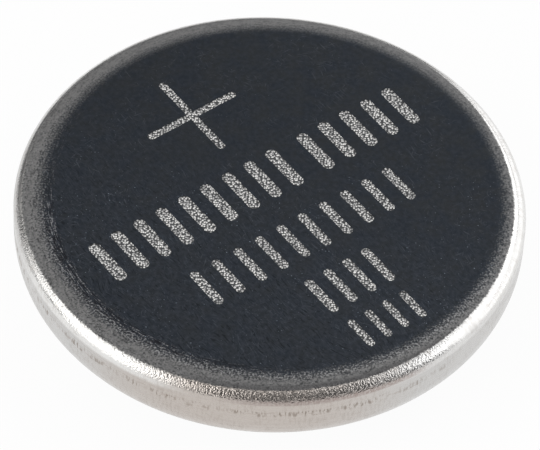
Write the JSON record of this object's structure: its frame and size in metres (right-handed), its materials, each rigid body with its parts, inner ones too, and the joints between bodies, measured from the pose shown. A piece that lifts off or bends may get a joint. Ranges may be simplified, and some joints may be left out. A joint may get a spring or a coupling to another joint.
{
  "type": "lithium coin cell",
  "caption": "Flat round lithium coin cell: a crimped steel can as positive pole over a stepped steel cap as negative pole, sealed by a plastic gasket around its electrodes.",
  "frame": {"origin": "centre of the negative contact face, which the cell lies on", "axes": "+Z along the cell's axis, from the negative face up to the positive face; the marks on the face read along a line turned 39 degrees from +X"},
  "size_m": [0.0125, 0.0124, 0.0025],
  "materials": {
    "can_steel": "nickel-plated stainless sheet: dark satin face, bright drawn edge and wall, pale etched marks",
    "cap_steel": "satin stainless sheet with fine rings from turning",
    "gasket_plastic": "moulded polypropylene, dull",
    "pellet_black": "pressed powder, grainy and dull",
    "ring_steel": "thin stamped sheet",
    "separator_felt": "white non-woven felt",
    "lithium": "soft rolled metal, slightly dulled"
  },
  "bodies": {
    "root": {"positive_can": "can_steel", "negative_cap": "cap_steel", "gasket": "gasket_plastic", "cathode_pellet": "pellet_black", "collector_ring": "ring_steel", "separator": "separator_felt", "lithium_anode": "lithium"}
  },
  "joints": []
}
